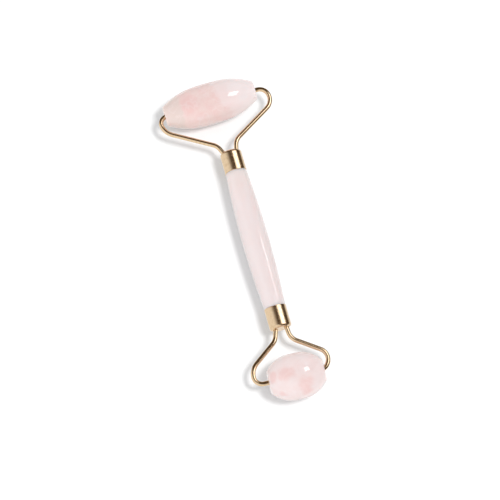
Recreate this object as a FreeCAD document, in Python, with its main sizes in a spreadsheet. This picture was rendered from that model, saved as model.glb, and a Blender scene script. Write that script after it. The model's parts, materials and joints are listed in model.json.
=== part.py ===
"""Two-ended face roller: a stone handle with a wire fork and a stone roller at each end.

Lengths are millimetres and angles are degrees. The origin is the middle of the handle. +Y runs
along the handle to the large roller, +X is to the right and +Z is up. Both forks lie in the
plane Z = 0, and the roller rests on its two stone rollers.
"""
import FreeCAD, Part
import math
import os

import Sketcher
from FreeCAD import Placement, Rotation, Vector

SIZES = {
    # handle: a crowned bar with a turned-down tenon at each end
    "handle_length": 62.1, "handle_radius": 5.7, "handle_end_radius": 4.5,
    "tenon_radius": 4.1, "tenon_length": 4.0,
    # ferrules: drawn cups that cover the tenons, with two drilled holes for the wires
    "ferrule_radius": 4.7, "ferrule_wall": 0.45, "ferrule_length": 9.5,
    "ferrule_end_wall": 0.8, "ferrule_corner": 1.3, "ferrule_lip": 0.15,
    "bond_gap": 0.02,
    # wire arms: a straight root, three bends and a straight axle end
    "wire_radius": 1.0, "wire_hole_radius": 1.05, "root_depth": 4.0,
    "drill_length": 5.6, "neck_bend": 5.5, "axle_grip": 12.0,
    "upper_hole_offset": 2.8,
    "upper_left_neck_x": -4.7, "upper_left_neck_y": 44.7,
    "upper_left_elbow_x": -24.6, "upper_left_elbow_y": 56.3, "upper_left_elbow_bend": 7.2,
    "upper_left_hook_x": -26.5, "upper_left_hook_bend": 3.4,
    "upper_right_neck_x": 3.8, "upper_right_neck_y": 45.2,
    "upper_right_elbow_x": 24.2, "upper_right_elbow_y": 58.1, "upper_right_elbow_bend": 5.6,
    "upper_right_hook_x": 22.0, "upper_right_hook_bend": 4.1,
    "lower_hole_offset": 2.4,
    "lower_left_neck_x": -3.8, "lower_left_neck_y": -44.9,
    "lower_left_elbow_x": -16.4, "lower_left_elbow_y": -54.0, "lower_left_elbow_bend": 6.9,
    "lower_left_hook_x": -16.8, "lower_left_hook_bend": 3.6,
    "lower_right_neck_x": 2.8, "lower_right_neck_y": -45.5,
    "lower_right_elbow_x": 17.1, "lower_right_elbow_y": -55.8, "lower_right_elbow_bend": 4.7,
    "lower_right_hook_x": 13.3, "lower_right_hook_bend": 4.9,
    # rollers: where each one's middle stands, and its barrel
    "upper_axle_x": -2.7, "upper_axle_y": 64.45, "upper_axle_tilt": 2.0,
    "large_length": 40.8, "large_radius": 9.0, "large_end_radius": 4.1,
    "large_crown_half": 6.0, "large_crown_drop": 0.18,
    "lower_axle_x": 0.7, "lower_axle_y": -61.6, "lower_axle_tilt": -2.0,
    "small_length": 23.5, "small_radius": 9.7, "small_end_radius": 4.6,
    "small_crown_half": 2.5, "small_crown_drop": 0.08,
    "bore_radius": 2.0, "rim_round": 0.5,
    # plastic sleeves in the drilled stone
    "bush_radius": 1.97, "bush_bore_radius": 1.05, "bush_length": 6.0, "bush_recess": 2.5,
}

# a sketch's own origin, horizontal axis and vertical axis, as its constraints number them
ORIGIN_POINT = (-1, 1)
X_LINE, Y_LINE = -1, -2
# lengths that differ by less than this are the same
SAME = 1e-4

doc = FreeCAD.newDocument("FaceRoller")
sheet = doc.addObject("Spreadsheet::Sheet", "Size")
for row, (alias, size) in enumerate(SIZES.items(), start=1):
    sheet.set("A%d" % row, alias)
    sheet.set("B%d" % row, str(size))
    sheet.setAlias("B%d" % row, alias)
doc.recompute()


def value(text):
    """The number that an expression over the sheet has now."""
    return float(sheet.evalExpression(text))


def size(name):
    """The expression that names one cell of the sheet."""
    return "Size." + name


# ---------------------------------------------------------------- sketches and bodies

def new_sketch(body, name):
    """A sketch on a body's own XY plane."""
    sketch = body.newObject("Sketcher::SketchObject", name)
    plane = next(item for item in body.Origin.OriginFeatures if item.Role == "XY_Plane")
    sketch.AttachmentSupport = [(plane, "")]
    sketch.MapMode = "FlatFace"
    return sketch


def bind(sketch, constraint, text):
    """Adds a dimension to a sketch and ties it to the sheet."""
    index = sketch.addConstraint(constraint)
    sketch.setExpression("Constraints[%d]" % index, text)


def hold_x(sketch, geometry, end, text):
    """Holds a point at an X that the sheet gives, or on the vertical axis where that is 0."""
    if abs(value(text)) < SAME:
        sketch.addConstraint(Sketcher.Constraint("PointOnObject", geometry, end, Y_LINE))
    else:
        held = Sketcher.Constraint("DistanceX", *ORIGIN_POINT, geometry, end, value(text))
        bind(sketch, held, text)


def hold_y(sketch, geometry, end, text):
    """Holds a point at a Y that the sheet gives, or on the horizontal axis where that is 0."""
    if abs(value(text)) < SAME:
        sketch.addConstraint(Sketcher.Constraint("PointOnObject", geometry, end, X_LINE))
    else:
        held = Sketcher.Constraint("DistanceY", *ORIGIN_POINT, geometry, end, value(text))
        bind(sketch, held, text)


def end_at(sketch, geometry, point):
    """Which end of a line or arc, 1 or 2, is the nearer to a point."""
    gaps = [(sketch.getPoint(geometry, end) - point).Length for end in (1, 2)]
    return 1 + gaps.index(min(gaps))


def bulged_arc(start, end, radius, left=True):
    """The shorter arc of a radius between two points, bulging to the left or right of start-end."""
    chord = end - start
    side = Vector(-chord.y, chord.x, 0).normalize() * (1 if left else -1)
    rise = radius - math.sqrt(radius ** 2 - (chord.Length / 2) ** 2)
    return Part.Arc(start, start + chord / 2 + side * rise, end)


def outline(sketch, corners, arcs, hollow):
    """A closed clockwise outline through corners, given as pairs of expressions.

    arcs maps an edge's number to its radius. An arc bulges outwards, or inwards where its edge is
    in hollow.
    """
    points = [Vector(value(x), value(y), 0) for x, y in corners]
    count = len(points)
    for edge in range(count):
        start, end = points[edge], points[(edge + 1) % count]
        if edge in arcs:
            radius = value(arcs[edge])
            sketch.addGeometry(bulged_arc(start, end, radius, edge not in hollow))
            bind(sketch, Sketcher.Constraint("Radius", edge, radius), arcs[edge])
        else:
            sketch.addGeometry(Part.LineSegment(start, end))
    for joint, (x, y) in enumerate(corners):
        before, after = (joint - 1) % count, joint
        ends = [end_at(sketch, edge, points[joint]) for edge in (before, after)]
        sketch.addConstraint(Sketcher.Constraint("Coincident", before, ends[0], after, ends[1]))
        hold_x(sketch, after, ends[1], x)
        hold_y(sketch, after, ends[1], y)


def revolved(label, axis, corners, arcs=None, hollow=()):
    """A body turned from an outline about its own X or Y axis."""
    body = doc.addObject("PartDesign::Body", label)
    sketch = new_sketch(body, label + "_outline")
    outline(sketch, corners, arcs or {}, hollow)
    turn = body.newObject("PartDesign::Revolution", label + "_turn")
    turn.Profile = sketch
    turn.ReferenceAxis = (sketch, [axis])
    turn.Angle = 360.0
    doc.recompute()
    return body


def round_rims(body, places, radius):
    """Rounds the circular edges whose centre is at a place along X, with that edge radius."""
    base = body.Tip
    names = []
    for number, edge in enumerate(base.Shape.Edges, start=1):
        curve = edge.Curve
        if not isinstance(curve, Part.Circle):
            continue
        for along, rim in places:
            offset = abs(curve.Center.x - value(along))
            if max(offset, abs(curve.Radius - value(rim))) < SAME:
                names.append("Edge%d" % number)
    fillet = body.newObject("PartDesign::Fillet", body.Name + "_rims")
    fillet.Base = (base, names)
    fillet.setExpression("Radius", radius)
    doc.recompute()


def stand_on_axle(body, fork):
    """Puts a body that was turned about X on a fork's axle."""
    body.Placement.Rotation = Rotation(Vector(0, 0, 1), value(size(fork + "_axle_tilt")))
    body.setExpression("Placement.Base.x", size(fork + "_axle_x"))
    body.setExpression("Placement.Base.y", size(fork + "_axle_y"))
    body.setExpression("Placement.Rotation.Angle", size(fork + "_axle_tilt"))


# ---------------------------------------------------------------- stone handle

def handle_stone():
    half = "Size.handle_length / 2"
    tip = "(Size.handle_length / 2 + Size.tenon_length)"
    crown = "(Size.handle_radius - Size.handle_end_radius)"
    bow = "((%s)^2 + %s^2) / (2 * %s)" % (half, crown, crown)
    tenon, end = size("tenon_radius"), size("handle_end_radius")
    corners = [("0", tip), (tenon, tip), (tenon, half), (end, half),
               (end, "-" + half), (tenon, "-" + half), (tenon, "-" + tip), ("0", "-" + tip)]
    return revolved("handle_stone", "V_Axis", corners, {3: bow})


# ---------------------------------------------------------------- ferrules and their filling

MOUTH = "Size.handle_length / 2"
END = "(Size.handle_length / 2 + Size.ferrule_length)"
BORE = "(Size.ferrule_radius - Size.ferrule_wall)"
INNER_CORNER = "(Size.ferrule_corner - Size.ferrule_wall)"


def ferrule_cup(label):
    """The drawn cup of the upper ferrule, open towards the handle."""
    outer, corner, lip = size("ferrule_radius"), size("ferrule_corner"), size("ferrule_lip")
    floor = "(%s - Size.ferrule_end_wall)" % END
    corners = [("0", END), ("%s - %s" % (outer, corner), END), (outer, "%s - %s" % (END, corner)),
               (outer, "%s + %s" % (MOUTH, lip)), ("%s - %s" % (outer, lip), MOUTH), (BORE, MOUTH),
               (BORE, "%s - %s" % (floor, INNER_CORNER)),
               ("%s - %s" % (BORE, INNER_CORNER), floor), ("0", floor)]
    arcs = {1: corner, 3: lip, 6: INNER_CORNER}
    return revolved(label, "V_Axis", corners, arcs, hollow=(6,))


def adhesive_plug(label):
    """Cast epoxy: a film round the tenon and a plug behind it, just clear of its neighbours."""
    mouth = "(Size.handle_length / 2 + Size.ferrule_lip)"
    tenon = "(Size.tenon_radius + Size.bond_gap)"
    tenon_end = "(Size.handle_length / 2 + Size.tenon_length + Size.bond_gap)"
    wall = "(%s - Size.bond_gap)" % BORE
    top = "(%s - Size.ferrule_end_wall - Size.bond_gap)" % END
    corners = [("0", top), ("%s - %s" % (wall, INNER_CORNER), top),
               (wall, "%s - %s" % (top, INNER_CORNER)), (wall, mouth), (tenon, mouth),
               (tenon, tenon_end), ("0", tenon_end)]
    return revolved(label, "V_Axis", corners, {1: INNER_CORNER})


def wire_drill(label, fork, side, radius):
    """A cylinder along the straight root of one arm, from just below the root outwards."""
    root, neck = arm_corners(fork, side)[:2]
    along = (neck - root).normalize()
    drill = doc.addObject("Part::Cylinder", label)
    drill.setExpression("Radius", radius)
    drill.setExpression("Height", "Size.drill_length")
    start = root - along * value("Size.bond_gap")
    drill.Placement = Placement(start, Rotation(Vector(0, 0, 1), along))
    return drill


def drilled(label, blank, fork, radius):
    """A ferrule or its filling, with the holes for both wires of its fork."""
    if fork == "lower":
        blank.Placement = Placement(Vector(), Rotation(Vector(0, 0, 1), 180))
    holes = doc.addObject("Part::MultiFuse", label + "_holes")
    holes.Shapes = [wire_drill("%s_%s_hole" % (label, side), fork, side, radius)
                    for side in ("left", "right")]
    cut = doc.addObject("Part::Cut", label)
    cut.Base = blank
    cut.Tool = holes
    doc.recompute()
    return cut


# ---------------------------------------------------------------- wire arms

def arm_expressions(fork, side):
    """The arm's route as pairs of expressions: hole, neck, elbow, hook and axle tip."""
    arm = "Size.%s_%s_" % (fork, side)
    outward = "-" if side == "left" else ""
    up = "" if fork == "upper" else "-"
    tip_x = arm + "hook_x " + ("+" if side == "left" else "-") + " Size.axle_grip"
    axle_y = "Size.{0}_axle_y + ({1} - Size.{0}_axle_x) * tan(Size.{0}_axle_tilt)"
    return {"hole": (outward + size(fork + "_hole_offset"), up + END),
            "neck": (arm + "neck_x", arm + "neck_y"), "elbow": (arm + "elbow_x", arm + "elbow_y"),
            "hook": (arm + "hook_x", axle_y.format(fork, arm + "hook_x")),
            "tip": (tip_x, axle_y.format(fork, tip_x))}


def root_height(fork):
    """The Y of a wire's inner end, inside its ferrule."""
    return "%s(%s - Size.root_depth)" % ("" if fork == "upper" else "-", END)


def arm_corners(fork, side):
    """The route's corners: root, neck, elbow, hook and tip. The root run passes the hole."""
    place = {name: Vector(value(x), value(y), 0)
             for name, (x, y) in arm_expressions(fork, side).items()}
    slope = (place["neck"].x - place["hole"].x) / (place["neck"].y - place["hole"].y)
    root_y = value(root_height(fork))
    root = Vector(place["hole"].x + slope * (root_y - place["hole"].y), root_y, 0)
    return [root, place["neck"], place["elbow"], place["hook"], place["tip"]]


def bent_route(sketch, corners, bends):
    """Draws straight runs joined by tangent arcs, and returns their numbers in order."""
    order, start = [], corners[0]
    for before, corner, after, (name, bend) in zip(corners, corners[1:], corners[2:], bends):
        back, ahead = (before - corner).normalize(), (after - corner).normalize()
        half = back.getAngle(ahead) / 2
        radius = value(bend)
        first, last = (corner + way * (radius / math.tan(half)) for way in (back, ahead))
        middle = corner + (back + ahead).normalize() * (radius / math.sin(half) - radius)
        order.append(sketch.addGeometry(Part.LineSegment(start, first)))
        order.append(sketch.addGeometry(Part.Arc(first, middle, last)))
        bind(sketch, Sketcher.Constraint("Radius", order[-1], radius), bend)
        print("  %s bend %.1f, turn %.0f degrees" % (name, radius, 180 - math.degrees(2 * half)))
        start = last
    order.append(sketch.addGeometry(Part.LineSegment(start, corners[-1])))
    for before, after in zip(order, order[1:]):
        arc, run = (before, after) if before % 2 else (after, before)
        arc_ends = [sketch.getPoint(arc, end) for end in (1, 2)]
        gaps = [(sketch.getPoint(run, end) - point).Length for end in (1, 2) for point in arc_ends]
        nearest = gaps.index(min(gaps))
        sketch.addConstraint(Sketcher.Constraint("Tangent", run, 1 + nearest // 2,
                                                 arc, 1 + nearest % 2))
    return order


def hold_corner(sketch, runs, place):
    """A construction point on one run, or where two runs meet, tied to the sheet."""
    x, y = place
    corner = sketch.addGeometry(Part.Point(Vector(value(x), value(y), 0)), True)
    for run in runs:
        sketch.addConstraint(Sketcher.Constraint("PointOnObject", corner, 1, run))
    hold_x(sketch, corner, 1, x)
    hold_y(sketch, corner, 1, y)


def fork_arm(fork, side):
    """One bent wire, swept along its route in the plane of the forks."""
    label = "%s_%s_arm" % (fork, side)
    print(label)
    place = arm_expressions(fork, side)
    corners = arm_corners(fork, side)
    arm = "Size.%s_%s_" % (fork, side)
    bends = [("neck", size("neck_bend")), ("elbow", arm + "elbow_bend"),
             ("hook", arm + "hook_bend")]
    body = doc.addObject("PartDesign::Body", label)
    route = new_sketch(body, label + "_route")
    order = bent_route(route, corners, bends)
    runs = order[::2]
    hold_corner(route, runs[:1], place["hole"])
    hold_corner(route, runs[0:2], place["neck"])
    hold_corner(route, runs[1:3], place["elbow"])
    hold_corner(route, runs[2:4], place["hook"])
    hold_y(route, runs[0], 1, root_height(fork))
    hold_x(route, runs[3], 2, place["tip"][0])
    hold_y(route, runs[3], 2, place["tip"][1])
    doc.recompute()
    section = body.newObject("Sketcher::SketchObject", label + "_section")
    section.AttachmentSupport = [(route, "Edge1")]
    section.MapMode = "NormalToEdge"
    section.addGeometry(Part.Circle(Vector(), Vector(0, 0, 1), value("Size.wire_radius")))
    section.addConstraint(Sketcher.Constraint("Coincident", 0, 3, *ORIGIN_POINT))
    bind(section, Sketcher.Constraint("Radius", 0, value("Size.wire_radius")), "Size.wire_radius")
    pipe = body.newObject("PartDesign::AdditivePipe", label + "_wire")
    pipe.Profile = section
    pipe.Spine = (route, ["Edge%d" % (number + 1) for number in range(len(order))])
    doc.recompute()
    length = sum(edge.Length for edge in route.Shape.Edges)
    expected = length * math.pi * value("Size.wire_radius") ** 2
    print("  wire %.1f long, volume %.1f of %.1f" % (length, body.Shape.Volume, expected))
    return body


# ---------------------------------------------------------------- rollers and their sleeves

def barrel(roller, fork):
    """A stone barrel with a bore: a flat crown round its middle, and an arc to each end face.

    The arcs run smoothly into the crown.
    """
    half, end = "(Size.%s_length / 2)" % roller, size(roller + "_end_radius")
    crown, drop = size(roller + "_crown_half"), size(roller + "_crown_drop")
    top, bore = size(roller + "_radius"), "Size.bore_radius"
    shoulder = "(%s - %s)" % (top, drop)
    corners = [("-" + half, bore), ("-" + half, end), ("-" + crown, shoulder), (crown, shoulder),
               (half, end), (half, bore)]
    wide = "((%s^2 + %s^2) / (2 * %s))" % (crown, drop, drop)
    run, fall = "(%s - %s)" % (half, crown), "(%s - %s)" % (shoulder, end)
    lean = "asin(%s / %s)" % (crown, wide)
    toward_centre = "(%s * cos(%s) - %s * sin(%s))" % (fall, lean, run, lean)
    bow = "(%s^2 + %s^2) / (2 * %s)" % (run, fall, toward_centre)
    body = revolved(roller + "_roller", "H_Axis", corners, {1: bow, 2: wide, 3: bow})
    rims = [(sign + half, rim) for sign in ("-", "") for rim in (end, bore)]
    round_rims(body, rims, "Size.rim_round")
    stand_on_axle(body, fork)
    return body


def bush(roller, side, fork):
    """A plain plastic sleeve, set back a little into one end of a roller's bore."""
    toward = "-" if side == "left" else ""
    outer_end = "%s(Size.%s_length / 2 - Size.bush_recess)" % (toward, roller)
    inner_end = "%s(Size.%s_length / 2 - Size.bush_recess - Size.bush_length)" % (toward, roller)
    low, high = (outer_end, inner_end) if side == "left" else (inner_end, outer_end)
    corners = [(low, "Size.bush_bore_radius"), (low, "Size.bush_radius"),
               (high, "Size.bush_radius"), (high, "Size.bush_bore_radius")]
    body = revolved("%s_%s_bush" % (roller, side), "H_Axis", corners)
    stand_on_axle(body, fork)
    return body


# ---------------------------------------------------------------- the whole roller

def build():
    """Every piece, in the order in which they are put together."""
    pieces = [handle_stone()]
    for fork in ("upper", "lower"):
        ferrule, adhesive = fork + "_ferrule", fork + "_adhesive"
        pieces.append(drilled(ferrule, ferrule_cup(ferrule + "_cup"), fork, "Size.wire_hole_radius"))
        pieces.append(drilled(adhesive, adhesive_plug(adhesive + "_plug"), fork,
                              "Size.wire_radius + Size.bond_gap"))
        pieces += [fork_arm(fork, side) for side in ("left", "right")]
    for roller, fork in (("large", "upper"), ("small", "lower")):
        pieces.append(barrel(roller, fork))
        pieces += [bush(roller, side, fork) for side in ("left", "right")]
    return pieces


def check(pieces):
    """Stops if any object failed to build, or a piece is not one closed, valid solid."""
    for item in doc.Objects:
        if "Invalid" in item.State or "Error" in item.State:
            raise RuntimeError("%s did not build: %s" % (item.Name, item.State))
    for piece in pieces:
        shape = piece.Shape
        if shape.isNull() or not shape.isValid() or len(shape.Solids) != 1:
            raise RuntimeError("%s is not one valid solid" % piece.Label)


parts = build()
doc.recompute()
check(parts)
os.makedirs("parts", exist_ok=True)
for part in parts:
    part.Shape.exportStep("parts/%s.step" % part.Label)
    print("%-18s %9.1f mm3" % (part.Label, part.Shape.Volume))
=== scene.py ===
"""Looks and studio of a two-ended face roller: rose-quartz handle and rollers, gold wire forks.

Lengths are metres in the CAD frame. Inside the finishes, places are in millimetres and noise
scales are per millimetre. Patches in the stone are placed in a frame that lies along each
stone: X along its axle, or Y along the handle, and Z up.
"""
import json
import math

import bpy
from mathutils import Matrix, Vector


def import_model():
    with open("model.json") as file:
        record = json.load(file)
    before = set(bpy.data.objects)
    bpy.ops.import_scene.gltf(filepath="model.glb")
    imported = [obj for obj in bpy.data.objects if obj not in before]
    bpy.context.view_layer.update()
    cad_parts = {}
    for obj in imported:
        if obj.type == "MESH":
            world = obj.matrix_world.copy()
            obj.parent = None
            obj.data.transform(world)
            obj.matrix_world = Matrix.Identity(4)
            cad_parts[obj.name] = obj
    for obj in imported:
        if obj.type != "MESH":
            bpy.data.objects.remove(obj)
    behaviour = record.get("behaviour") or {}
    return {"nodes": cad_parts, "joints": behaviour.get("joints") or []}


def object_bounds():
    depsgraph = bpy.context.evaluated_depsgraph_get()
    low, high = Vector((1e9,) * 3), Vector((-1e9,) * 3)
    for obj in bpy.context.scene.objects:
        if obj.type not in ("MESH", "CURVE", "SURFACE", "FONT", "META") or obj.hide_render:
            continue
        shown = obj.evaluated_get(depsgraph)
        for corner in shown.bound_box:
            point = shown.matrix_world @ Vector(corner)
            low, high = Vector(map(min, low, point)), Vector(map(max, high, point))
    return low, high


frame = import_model()
cad_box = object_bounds()

MM = 0.001
JOINTS = {joint["name"]: joint for joint in frame["joints"]}


def put(name, data):
    """A new object with this data, in the scene."""
    made = bpy.data.objects.new(name, data)
    bpy.context.scene.collection.objects.link(made)
    return made


# ---------------------------------------------------------------- colours and node trees

# The sRGB curve: a straight part up to its knee, and a power above it.
FULL_LEVEL = 255
KNEE, STRAIGHT_SLOPE = 0.04045, 12.92
CURVE_OFFSET, CURVE_POWER = 0.055, 2.4


def linear(level):
    """A screen level from 0 to 255 as the linear value that shaders take."""
    share = level / FULL_LEVEL
    if share <= KNEE:
        return share / STRAIGHT_SLOPE
    return ((share + CURVE_OFFSET) / (1 + CURVE_OFFSET)) ** CURVE_POWER


def display(red, green, blue):
    """An opaque colour for a shader, from the levels that a screen shows."""
    return (linear(red), linear(green), linear(blue), 1.0)


class Tree:
    """A node tree, with a short call for each kind of node that the finishes share."""

    def __init__(self, owner):
        owner.use_nodes = True
        self.nodes = owner.node_tree.nodes
        self.links = owner.node_tree.links
        self.nodes.clear()

    def feed(self, socket, value):
        """Links a socket to another one, or sets it to a constant."""
        if isinstance(value, bpy.types.NodeSocket):
            self.links.new(value, socket)
        else:
            socket.default_value = value

    def node(self, kind, inputs, **settings):
        """A node with its settings, and its inputs by name or number."""
        made = self.nodes.new("ShaderNode" + kind)
        for name, value in settings.items():
            setattr(made, name, value)
        for key, value in inputs.items():
            self.feed(made.inputs[key], value)
        return made

    def math(self, operation, first, second=0.0):
        return self.node("Math", {0: first, 1: second}, operation=operation).outputs[0]

    def vector(self, operation, first, second=(0, 0, 0)):
        return self.node("VectorMath", {0: first, 1: second}, operation=operation)

    def ramp(self, value, start, end, low=0.0, high=1.0):
        """Turns smoothly from low to high as value goes from start to end."""
        inputs = {"Value": value, "From Min": start, "From Max": end,
                  "To Min": low, "To Max": high}
        return self.node("MapRange", inputs, interpolation_type="SMOOTHSTEP").outputs[0]

    def mix(self, share, first, second):
        """first where share is 0 and second where it is 1, both colours."""
        made = self.node("Mix", {0: share, 6: first, 7: second}, data_type="RGBA")
        return made.outputs[2]

    def noise(self, place, scale, detail=3.0, roughness=0.5, distortion=0.0):
        """A soft noise node. Its Fac is a number from 0 to 1, and its Color three of them."""
        inputs = {"Vector": place, "Scale": scale, "Detail": detail,
                  "Roughness": roughness, "Distortion": distortion}
        return self.node("TexNoise", inputs)

    def place(self, centre=(0, 0, 0), turn=0.0):
        """Where a point is in millimetres, in a frame at centre that is turned about Z."""
        seen = self.node("TexCoord", {}).outputs["Object"]
        inputs = {"Vector": seen, "Location": centre, "Rotation": (0, 0, turn),
                  "Scale": (MM, MM, MM)}
        return self.node("Mapping", inputs, vector_type="TEXTURE").outputs[0]

    def bump(self, height, depth):
        """A normal from a height between 0 and 1 that stands for depth in metres."""
        inputs = {"Height": height, "Distance": depth, "Strength": 1.0}
        return self.node("Bump", inputs).outputs[0]


def material(name):
    """A new finish and its empty node tree."""
    made = bpy.data.materials.new(name + "_finish")
    return made, Tree(made)


def surface(tree, shader):
    tree.node("OutputMaterial", {"Surface": shader.outputs[0]})


# ---------------------------------------------------------------- rose quartz

STONE_INDEX = 1.54
STONE_MILKINESS = 0.85
STONE_DEPTH = 0.005
STONE_BLEED = (1.0, 0.8, 0.76)
STONE_RIPPLE = 0.00004
POLISH, WORN_POLISH, HANDLE_WORN_POLISH = 0.05, 0.13, 0.1

PALE = display(214, 203, 202)
MILK = display(216, 205, 204)
CLOUDY = display(213, 197, 195)
BLUSH = display(212, 191, 187)
ROSE = display(211, 182, 179)
SAND = display(204, 189, 183)
# Painted shade: the grey that the upper ferrule's shadow and reflection lay on the handle stone.
PAINTED_FERRULE_SHADE = display(212, 201, 197)


def patch(tree, place, centre, half, soft=0.45):
    """How much of a soft-edged ellipsoid fills a point: 1 in its middle and 0 outside."""
    offset = tree.vector("SUBTRACT", place, centre).outputs[0]
    scaled = tree.vector("DIVIDE", offset, half).outputs[0]
    distance = tree.vector("LENGTH", scaled).outputs["Value"]
    return tree.ramp(distance, 1.0 + soft, 1.0 - soft)


def strayed(tree, place, scale, reach):
    """place pushed about by a soft noise, so that shapes drawn in it get a ragged outline."""
    push = tree.noise(place, scale).outputs["Color"]
    centred = tree.vector("SUBTRACT", push, (0.5, 0.5, 0.5)).outputs[0]
    made = tree.vector("MULTIPLY_ADD", centred, (reach, reach, reach))
    tree.feed(made.inputs[2], place)
    return made.outputs[0]


def veined(tree, place, colour, scale, width, share):
    """colour with thin wandering sheets of milk, as healed cracks leave in quartz.

    In the middle of a sheet the colour goes this share of the way to milk.
    """
    field = tree.noise(place, scale, detail=2.0, roughness=0.6, distortion=0.6).outputs["Fac"]
    off_centre = tree.math("ABSOLUTE", tree.math("SUBTRACT", field, 0.5))
    sheets = tree.ramp(off_centre, width, 0.0)
    return tree.mix(tree.math("MULTIPLY", sheets, share), colour, MILK)


def polished_stone(tree, place, colour, worn=WORN_POLISH):
    """Milky quartz under a hand polish, with a faint unevenness."""
    wear = tree.noise(place, 0.5).outputs["Fac"]
    ripple = tree.noise(place, 0.22, detail=2.0).outputs["Fac"]
    shader = tree.node("BsdfPrincipled", {
        "Base Color": colour,
        "Roughness": tree.ramp(wear, 0.3, 0.75, POLISH, worn),
        "IOR": STONE_INDEX,
        "Subsurface Weight": STONE_MILKINESS,
        "Subsurface Radius": STONE_BLEED,
        "Subsurface Scale": STONE_DEPTH,
        "Normal": tree.bump(ripple, STONE_RIPPLE)})
    surface(tree, shader)


def handle_quartz():
    """An even, very pale stone with wide, faint clouds along it, and greyer at its upper end,
    where the upper ferrule's shadow and reflection are painted in as shade.
    """
    made, tree = material("handle_quartz")
    place = tree.place()
    long_way = tree.vector("MULTIPLY", place, (1.0, 0.35, 1.0)).outputs[0]
    along = tree.node("SeparateXYZ", {0: place}).outputs[1]
    clouds = tree.noise(long_way, 0.16).outputs["Fac"]
    colour = tree.mix(tree.ramp(clouds, 0.35, 0.75, high=0.16), PALE, BLUSH)
    # Painted shade: the stone greys towards the upper ferrule, in place of the ferrule's shadow
    # and reflection.
    colour = tree.mix(tree.ramp(along, 14.0, 32.0, high=0.6), colour, PAINTED_FERRULE_SHADE)
    colour = veined(tree, long_way, colour, scale=0.2, width=0.02, share=0.2)
    polished_stone(tree, place, colour, HANDLE_WORN_POLISH)
    return made


def on_barrel(along, turn, radius):
    """A point just under a barrel's skin: along its axle, and turned about it from the top."""
    angle = math.radians(turn)
    return (along, radius * math.sin(angle), radius * math.cos(angle))


def axle_frame(joint):
    """The middle of a roller and the angle of its axle about Z."""
    spin = JOINTS[joint]
    return spin["pos_m"], math.atan2(spin["axis"][1], spin["axis"][0])


def hidden_wander(tree, place, height):
    """How far the long roller's zones wander along it. They do so only on its underside."""
    wander = tree.ramp(tree.noise(place, 0.13).outputs["Fac"], 0.3, 0.7, -5.0, 5.0)
    return tree.math("MULTIPLY", wander, tree.ramp(height, 1.0, -5.0))


def milky_end(tree, along, across, hidden):
    """How milky the long roller is: from a slanting edge on, and more towards its right end."""
    shift = tree.math("ADD", tree.ramp(across, 5.0, -3.0, high=1.8),
                      tree.ramp(across, -4.0, -7.5, high=4.6))
    from_edge = tree.math("SUBTRACT", along, tree.math("ADD", shift, hidden))
    return tree.math("ADD", tree.ramp(from_edge, 0.6, 3.4, high=0.62),
                     tree.ramp(from_edge, 5.0, 12.0, high=0.38))


def roller_quartz():
    """The long roller: sandy at its left end, blush in the middle, and milky on the right."""
    made, tree = material("roller_quartz")
    place = tree.place(*axle_frame("large_roller_spin"))
    ragged = strayed(tree, place, scale=0.4, reach=3.4)
    along, across, height = tree.node("SeparateXYZ", {0: ragged}).outputs
    hidden = hidden_wander(tree, place, height)
    sandy = tree.ramp(tree.math("ADD", along, hidden), -12.2, -13.8)
    deep = patch(tree, ragged, on_barrel(-9.8, -2, 7.6), (3.4, 4.6, 4.0))
    clouds = tree.noise(place, 0.28, detail=4.0, roughness=0.6).outputs["Fac"]
    pale = tree.noise(place, 0.13, detail=2.0).outputs["Fac"]
    colour = tree.mix(tree.ramp(clouds, 0.42, 0.66, high=0.7), BLUSH, ROSE)
    colour = tree.mix(tree.ramp(pale, 0.5, 0.7, high=0.45), colour, CLOUDY)
    colour = tree.mix(deep, colour, ROSE)
    colour = tree.mix(tree.math("MULTIPLY", sandy, 0.85), colour, SAND)
    colour = tree.mix(milky_end(tree, along, across, hidden), colour, MILK)
    colour = veined(tree, place, colour, scale=0.12, width=0.03, share=0.3)
    polished_stone(tree, place, colour)
    return made


# Rose patches of the short roller: the middle of each, and half its size along the frame's axes.
SMALL_PATCHES = [
    (on_barrel(-4.4, 2, 8.4), (3.6, 2.6, 3.0)),
    (on_barrel(2.2, -34, 8.4), (3.3, 3.4, 3.0)),
    (on_barrel(2.6, -54, 8.2), (2.6, 2.6, 2.6)),
    (on_barrel(-9.8, 6, 5.8), (2.0, 2.4, 2.2)),
    (on_barrel(-5.9, -56, 7.6), (3.0, 1.5, 1.5)),
    (on_barrel(1.0, 75, 8.4), (3.6, 3.0, 2.6)),
    (on_barrel(-5.5, 140, 8.0), (3.0, 2.6, 2.4)),
    (on_barrel(4.0, 205, 8.2), (3.4, 2.8, 3.0)),
]


def small_roller_quartz():
    """The short roller: a pale, cloudy stone with soft rose patches and faint veins."""
    made, tree = material("small_roller_quartz")
    place = tree.place(*axle_frame("small_roller_spin"))
    ragged = strayed(tree, place, scale=0.3, reach=2.4)
    clouds = tree.noise(place, 0.2, detail=4.0, roughness=0.6).outputs["Fac"]
    colour = tree.mix(tree.ramp(clouds, 0.35, 0.65, high=0.6), CLOUDY, PALE)
    rosy = 0.0
    for centre, half in SMALL_PATCHES:
        rosy = tree.math("MAXIMUM", rosy, patch(tree, ragged, centre, half, soft=0.4))
    colour = tree.mix(tree.math("MULTIPLY", rosy, 0.75), colour, ROSE)
    colour = veined(tree, place, colour, scale=0.1, width=0.04, share=0.2)
    polished_stone(tree, place, colour)
    return made


# ---------------------------------------------------------------- metal

GOLD = display(238, 212, 178)
GOLD_WORN = display(226, 192, 150)
GRAIN_DEPTH = 0.000035
SCUFF_DEPTH = 0.000004


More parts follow.
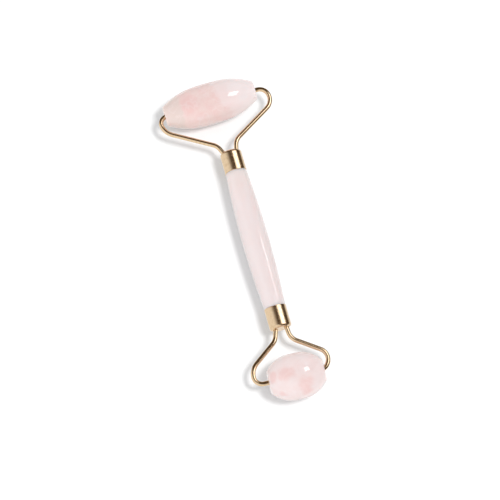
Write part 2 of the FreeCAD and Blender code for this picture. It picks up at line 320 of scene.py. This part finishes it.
def plated(tree, rubbed, worn, smooth, rough, relief):
    """Champagne-gold plating, which is darker and rougher where it is rubbed."""
    shader = tree.node("BsdfPrincipled", {
        "Base Color": tree.mix(tree.ramp(rubbed, 0.4, 0.75, high=worn), GOLD, GOLD_WORN),
        "Metallic": 1.0,
        "Roughness": tree.ramp(rubbed, 0.3, 0.75, smooth, rough),
        "Normal": relief})
    surface(tree, shader)


def ferrule_metal():
    """Drawn brass with a champagne plating: fine satin grain, and rubbed a little."""
    made, tree = material("ferrule_metal")
    place = tree.place()
    grain = tree.noise(place, 3.0, roughness=0.7).outputs["Fac"]
    rubbed = tree.noise(place, 0.8).outputs["Fac"]
    plated(tree, rubbed, worn=0.5, smooth=0.16, rough=0.26, relief=tree.bump(grain, GRAIN_DEPTH))
    return made


def wire_metal():
    """Drawn wire in the same plating, polished brighter, with faint scuffs."""
    made, tree = material("wire_metal")
    place = tree.place()
    rubbed = tree.noise(place, 1.1).outputs["Fac"]
    scuffs = tree.noise(place, 6.0, detail=2.0).outputs["Fac"]
    plated(tree, rubbed, worn=0.6, smooth=0.1, rough=0.2, relief=tree.bump(scuffs, SCUFF_DEPTH))
    return made


# ---------------------------------------------------------------- plastic and epoxy

NYLON, NYLON_SHADE = display(236, 232, 224), display(222, 216, 204)
NYLON_DEPTH, NYLON_TEXTURE = 0.0008, 0.00001
EPOXY, EPOXY_SHADE = display(236, 222, 188), display(214, 190, 142)
EPOXY_DEPTH, EPOXY_TEXTURE = 0.001, 0.00002


def sleeve_plastic():
    """Natural nylon with a faint moulded texture."""
    made, tree = material("sleeve_plastic")
    mottle = tree.noise(tree.place(), 1.5, detail=2.0).outputs["Fac"]
    shader = tree.node("BsdfPrincipled", {
        "Base Color": tree.mix(mottle, NYLON, NYLON_SHADE),
        "Roughness": tree.ramp(mottle, 0.3, 0.7, 0.35, 0.5),
        "Subsurface Weight": 0.3,
        "Subsurface Scale": NYLON_DEPTH,
        "Normal": tree.bump(mottle, NYLON_TEXTURE)})
    surface(tree, shader)
    return made


def epoxy():
    """Clear-set adhesive with fine bubbles, amber in its depth."""
    made, tree = material("epoxy")
    cells = tree.node("TexVoronoi", {"Vector": tree.place(), "Scale": 2.4})
    bubbles = cells.outputs["Distance"]
    shader = tree.node("BsdfPrincipled", {
        "Base Color": tree.mix(tree.ramp(bubbles, 0.1, 0.5), EPOXY, EPOXY_SHADE),
        "Roughness": tree.ramp(bubbles, 0.1, 0.5, 0.12, 0.3),
        "Subsurface Weight": 0.5,
        "Subsurface Scale": EPOXY_DEPTH,
        "Normal": tree.bump(bubbles, EPOXY_TEXTURE)})
    surface(tree, shader)
    return made


# Each finish is named as its material slot, and dresses these CAD nodes.
FINISHES = {
    handle_quartz: ["handle_stone"],
    roller_quartz: ["large_roller"],
    small_roller_quartz: ["small_roller"],
    ferrule_metal: ["upper_ferrule", "lower_ferrule"],
    wire_metal: ["upper_left_arm", "upper_right_arm", "lower_left_arm", "lower_right_arm"],
    epoxy: ["upper_adhesive", "lower_adhesive"],
    sleeve_plastic: ["large_left_bush", "large_right_bush", "small_left_bush",
                     "small_right_bush"],
}
HANDLE = (handle_quartz,)
ROLLERS = (roller_quartz, small_roller_quartz)
STONES = HANDLE + ROLLERS
METAL = (ferrule_metal, wire_metal)


def dress():
    """Gives every CAD node its finish."""
    for finish, nodes in FINISHES.items():
        made = finish()
        for name in nodes:
            node = frame["nodes"][name]
            node.data.materials.clear()
            node.data.materials.append(made)


# ---------------------------------------------------------------- camera

# The aim point is the middle of the CAD box, moved this far to frame the object.
AIM_SHIFT = Vector((-2.24, -5.13, 0.0)) * MM
AIM = Vector((cad_box[0] + cad_box[1]) / 2) + AIM_SHIFT
CAMERA_AZIMUTH, CAMERA_ELEVATION = -15.44, 74.5
CAMERA_DISTANCE = 0.67
CAMERA_LENS_MM, CAMERA_SENSOR_MM = 113.6, 36.0
CAMERA_NEAREST, CAMERA_FURTHEST = 0.01, 20.0


def toward(azimuth, elevation):
    """The direction from the object to a viewpoint. Azimuth 0 is at -Y, and 90 is at +X."""
    a, e = math.radians(azimuth), math.radians(elevation)
    return Vector((math.sin(a) * math.cos(e), -math.cos(a) * math.cos(e), math.sin(e)))


def look_from(thing, direction, distance):
    """Stands a camera or light off the aim point and turns it to look there."""
    thing.location = AIM + direction * distance
    thing.rotation_mode = "QUATERNION"
    thing.rotation_quaternion = (-direction).to_track_quat("-Z", "Y")


def camera():
    """A long lens that looks down on the object, a little from its left."""
    data = bpy.data.cameras.new("camera")
    data.lens, data.sensor_width = CAMERA_LENS_MM, CAMERA_SENSOR_MM
    data.clip_start, data.clip_end = CAMERA_NEAREST, CAMERA_FURTHEST
    made = put("camera", data)
    look_from(made, toward(CAMERA_AZIMUTH, CAMERA_ELEVATION), CAMERA_DISTANCE)
    bpy.context.scene.camera = made


# ---------------------------------------------------------------- lights

KEY = {"way": (0.316, -0.135, 1.0), "distance": 1.0, "wide": 0.22, "tall": 0.22, "power": 5.8}

FILL_DISTANCE, FILL_WIDE, FILL_TALL = 1.2, 1.0, 0.8
FILLS = [
    {"name": "left", "way": (-0.93, 0.1, 0.3), "power": 5.2, "finishes": STONES},
    {"name": "near", "way": (-0.1, -0.98, 0.03), "power": 4.9, "finishes": ROLLERS},
    {"name": "far", "way": (0.3, 0.95, 0.03), "power": 4.1, "finishes": ROLLERS},
]

REFLECTIONS = [
    {"name": "window", "way": (0.64, 0.1, 0.76), "distance": 0.8,
     "wide": 0.75, "tall": 0.56, "radiance": 2.3, "finishes": METAL},
    {"name": "lamp", "way": (0.475, 0.127, 0.87), "distance": 0.574,
     "wide": 0.2, "tall": 0.16, "radiance": 10.0, "finishes": ROLLERS},
    {"name": "strip", "way": (0.733, 0.16, 0.66), "distance": 0.8,
     "wide": 0.16, "tall": 0.08, "radiance": 10.0, "finishes": HANDLE},
]


def softbox(name, way, distance, wide, tall, power):
    """A rectangular light of so many watts that stands that way and shines on the aim point."""
    data = bpy.data.lights.new(name, "AREA")
    data.shape = "RECTANGLE"
    data.size, data.size_y = wide, tall
    data.energy = power
    made = put(name, data)
    look_from(made, Vector(way).normalized(), distance)
    made.visible_camera = False
    return made


def lie_along_handle(light, direction):
    """Turns a light about its own beam until its first side runs along the handle."""
    first = (Vector((0, 1, 0)) - direction * direction.y).normalized()
    second = direction.cross(first)
    turned = Matrix((first, second, direction)).transposed()
    light.rotation_quaternion = turned.to_quaternion()


def shine_only_on(light, finishes):
    """Lets a light fall only on the pieces that have these finishes, and cast no shadow."""
    group = bpy.data.collections.new(light.name + "_receivers")
    for finish in finishes:
        for node in FINISHES[finish]:
            group.objects.link(frame["nodes"][node])
    light.light_linking.receiver_collection = group
    light.data.use_shadow = False


def reflection(name, way, distance, wide, tall, radiance, finishes):
    """A light seen only as a reflection, and only in the pieces that have these finishes.

    Its wide side runs along the handle, and radiance is what a mirror would show.
    """
    light = softbox(name, way, distance, wide, tall, radiance * math.pi * wide * tall)
    lie_along_handle(light, Vector(way).normalized())
    light.visible_diffuse = False
    shine_only_on(light, finishes)


def fill(name, way, power, finishes):
    """A wide light, unseen in reflections, that lifts one side of the pieces."""
    light = softbox(name, way, FILL_DISTANCE, FILL_WIDE, FILL_TALL, power)
    light.visible_glossy = False
    shine_only_on(light, finishes)


def lights():
    """A key that casts the soft shadow, fills for the stones, and reflections."""
    key = softbox("key", **KEY)
    key.visible_glossy = False
    for each in FILLS:
        fill(**each)
    for each in REFLECTIONS:
        reflection(**each)


# ---------------------------------------------------------------- surroundings

BACKDROP, BACKDROP_STRENGTH = (1, 1, 1, 1), 1.1
AMBIENT, AMBIENT_STRENGTH = (0.965, 0.985, 1, 1), 0.76
CARD_SIDE = (-0.85, -0.55, 0.0)
CARD, DARK_ROOM = (0.92, 0.91, 0.89, 1), (0.075, 0.047, 0.025, 1)

FLOOR_HALF = 3.0
PAPER, PAPER_FIBRE = (0.80, 0.80, 0.80, 1), (0.81, 0.81, 0.81, 1)
PAPER_GLOW = 0.1


def world():
    """A white backdrop, an even and slightly cool ambient light, and a room for reflections.

    The room is dark, with a pale card on its left and near side, and pale below.
    """
    made = bpy.data.worlds.new("studio")
    bpy.context.scene.world = made
    tree = Tree(made)
    way = tree.node("TexCoord", {}).outputs["Generated"]
    side = tree.vector("DOT_PRODUCT", way, CARD_SIDE).outputs["Value"]
    height = tree.node("SeparateXYZ", {0: way}).outputs[2]
    pale = tree.math("MAXIMUM", tree.ramp(side, 0.08, 0.6), tree.ramp(height, -0.3, -0.5))
    room = tree.node("Background", {"Color": tree.mix(pale, DARK_ROOM, CARD), "Strength": 1.0})
    ambient = tree.node("Background", {"Color": AMBIENT, "Strength": AMBIENT_STRENGTH})
    backdrop = tree.node("Background", {"Color": BACKDROP, "Strength": BACKDROP_STRENGTH})
    ray = tree.node("LightPath", {}).outputs
    lit = tree.node("MixShader", {0: ray["Is Glossy Ray"], 1: ambient.outputs[0],
                                  2: room.outputs[0]})
    whole = tree.node("MixShader", {0: ray["Is Camera Ray"], 1: lit.outputs[0],
                                    2: backdrop.outputs[0]})
    tree.node("OutputWorld", {"Surface": whole.outputs[0]})


def white_paper():
    """Matte white paper that glows a little, so that it stays white in the picture."""
    made, tree = material("white_paper")
    fibre = tree.noise(tree.place(), 0.05, detail=2.0).outputs["Fac"]
    matte = tree.node("BsdfDiffuse", {"Color": tree.mix(fibre, PAPER, PAPER_FIBRE)})
    glow = tree.node("Emission", {"Color": (1, 1, 1, 1), "Strength": PAPER_GLOW})
    surface(tree, tree.node("AddShader", {0: matte.outputs[0], 1: glow.outputs[0]}))
    return made


def floor():
    """A plain white table under the rollers."""
    height = cad_box[0].z
    corners = [(-FLOOR_HALF, -FLOOR_HALF, height), (FLOOR_HALF, -FLOOR_HALF, height),
               (FLOOR_HALF, FLOOR_HALF, height), (-FLOOR_HALF, FLOOR_HALF, height)]
    data = bpy.data.meshes.new("floor")
    data.from_pydata(corners, [], [(0, 1, 2, 3)])
    made = put("floor", data)
    data.materials.append(white_paper())
    made.visible_glossy = False


dress()
camera()
lights()
world()
floor()
bpy.context.scene.view_settings.view_transform = "Standard"
